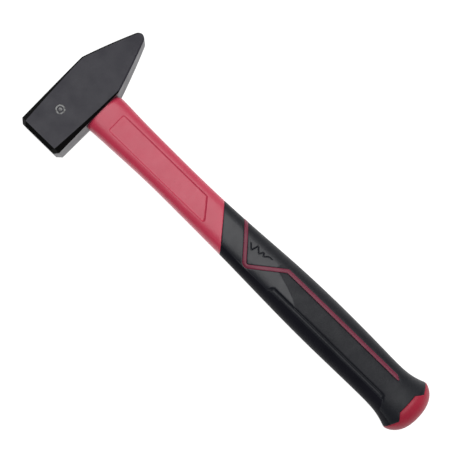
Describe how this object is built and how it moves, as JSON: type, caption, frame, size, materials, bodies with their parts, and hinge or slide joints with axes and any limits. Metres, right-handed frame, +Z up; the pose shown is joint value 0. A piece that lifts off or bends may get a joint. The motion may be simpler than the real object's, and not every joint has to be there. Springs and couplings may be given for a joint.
{
  "type": "cross peen hammer",
  "caption": "Engineer's cross peen hammer: chamfered steel head with a wedge peen, fibreglass core, red moulded neck, black soft grip with red inlay and flared end cap.",
  "frame": {"origin": "on the plane the hammer lies on, straight below the middle of the eye", "axes": "+Z up through the head's thickness, -Y along the handle to the end cap, -X out of the striking face, +X to the peen"},
  "size_m": [0.0961, 0.3195, 0.03],
  "materials": {
    "head_steel": "satin black lacquer on forged steel",
    "resin": "cured black casting resin",
    "fibreglass": "pultruded glass fibre rod",
    "red_polymer": "satin moulded",
    "black_elastomer": "soft satin with fine grain",
    "red_inlay": "satin moulded",
    "red_cap": "satin moulded with fine grain"
  },
  "bodies": {
    "root": {"head": "head_steel", "eye_resin": "resin", "core_rod": "fibreglass", "handle_jacket": "red_polymer", "grip_sleeve": "black_elastomer", "inlay_ribbon": "red_inlay", "end_cap": "red_cap", "tail_bond": "resin"}
  },
  "joints": []
}
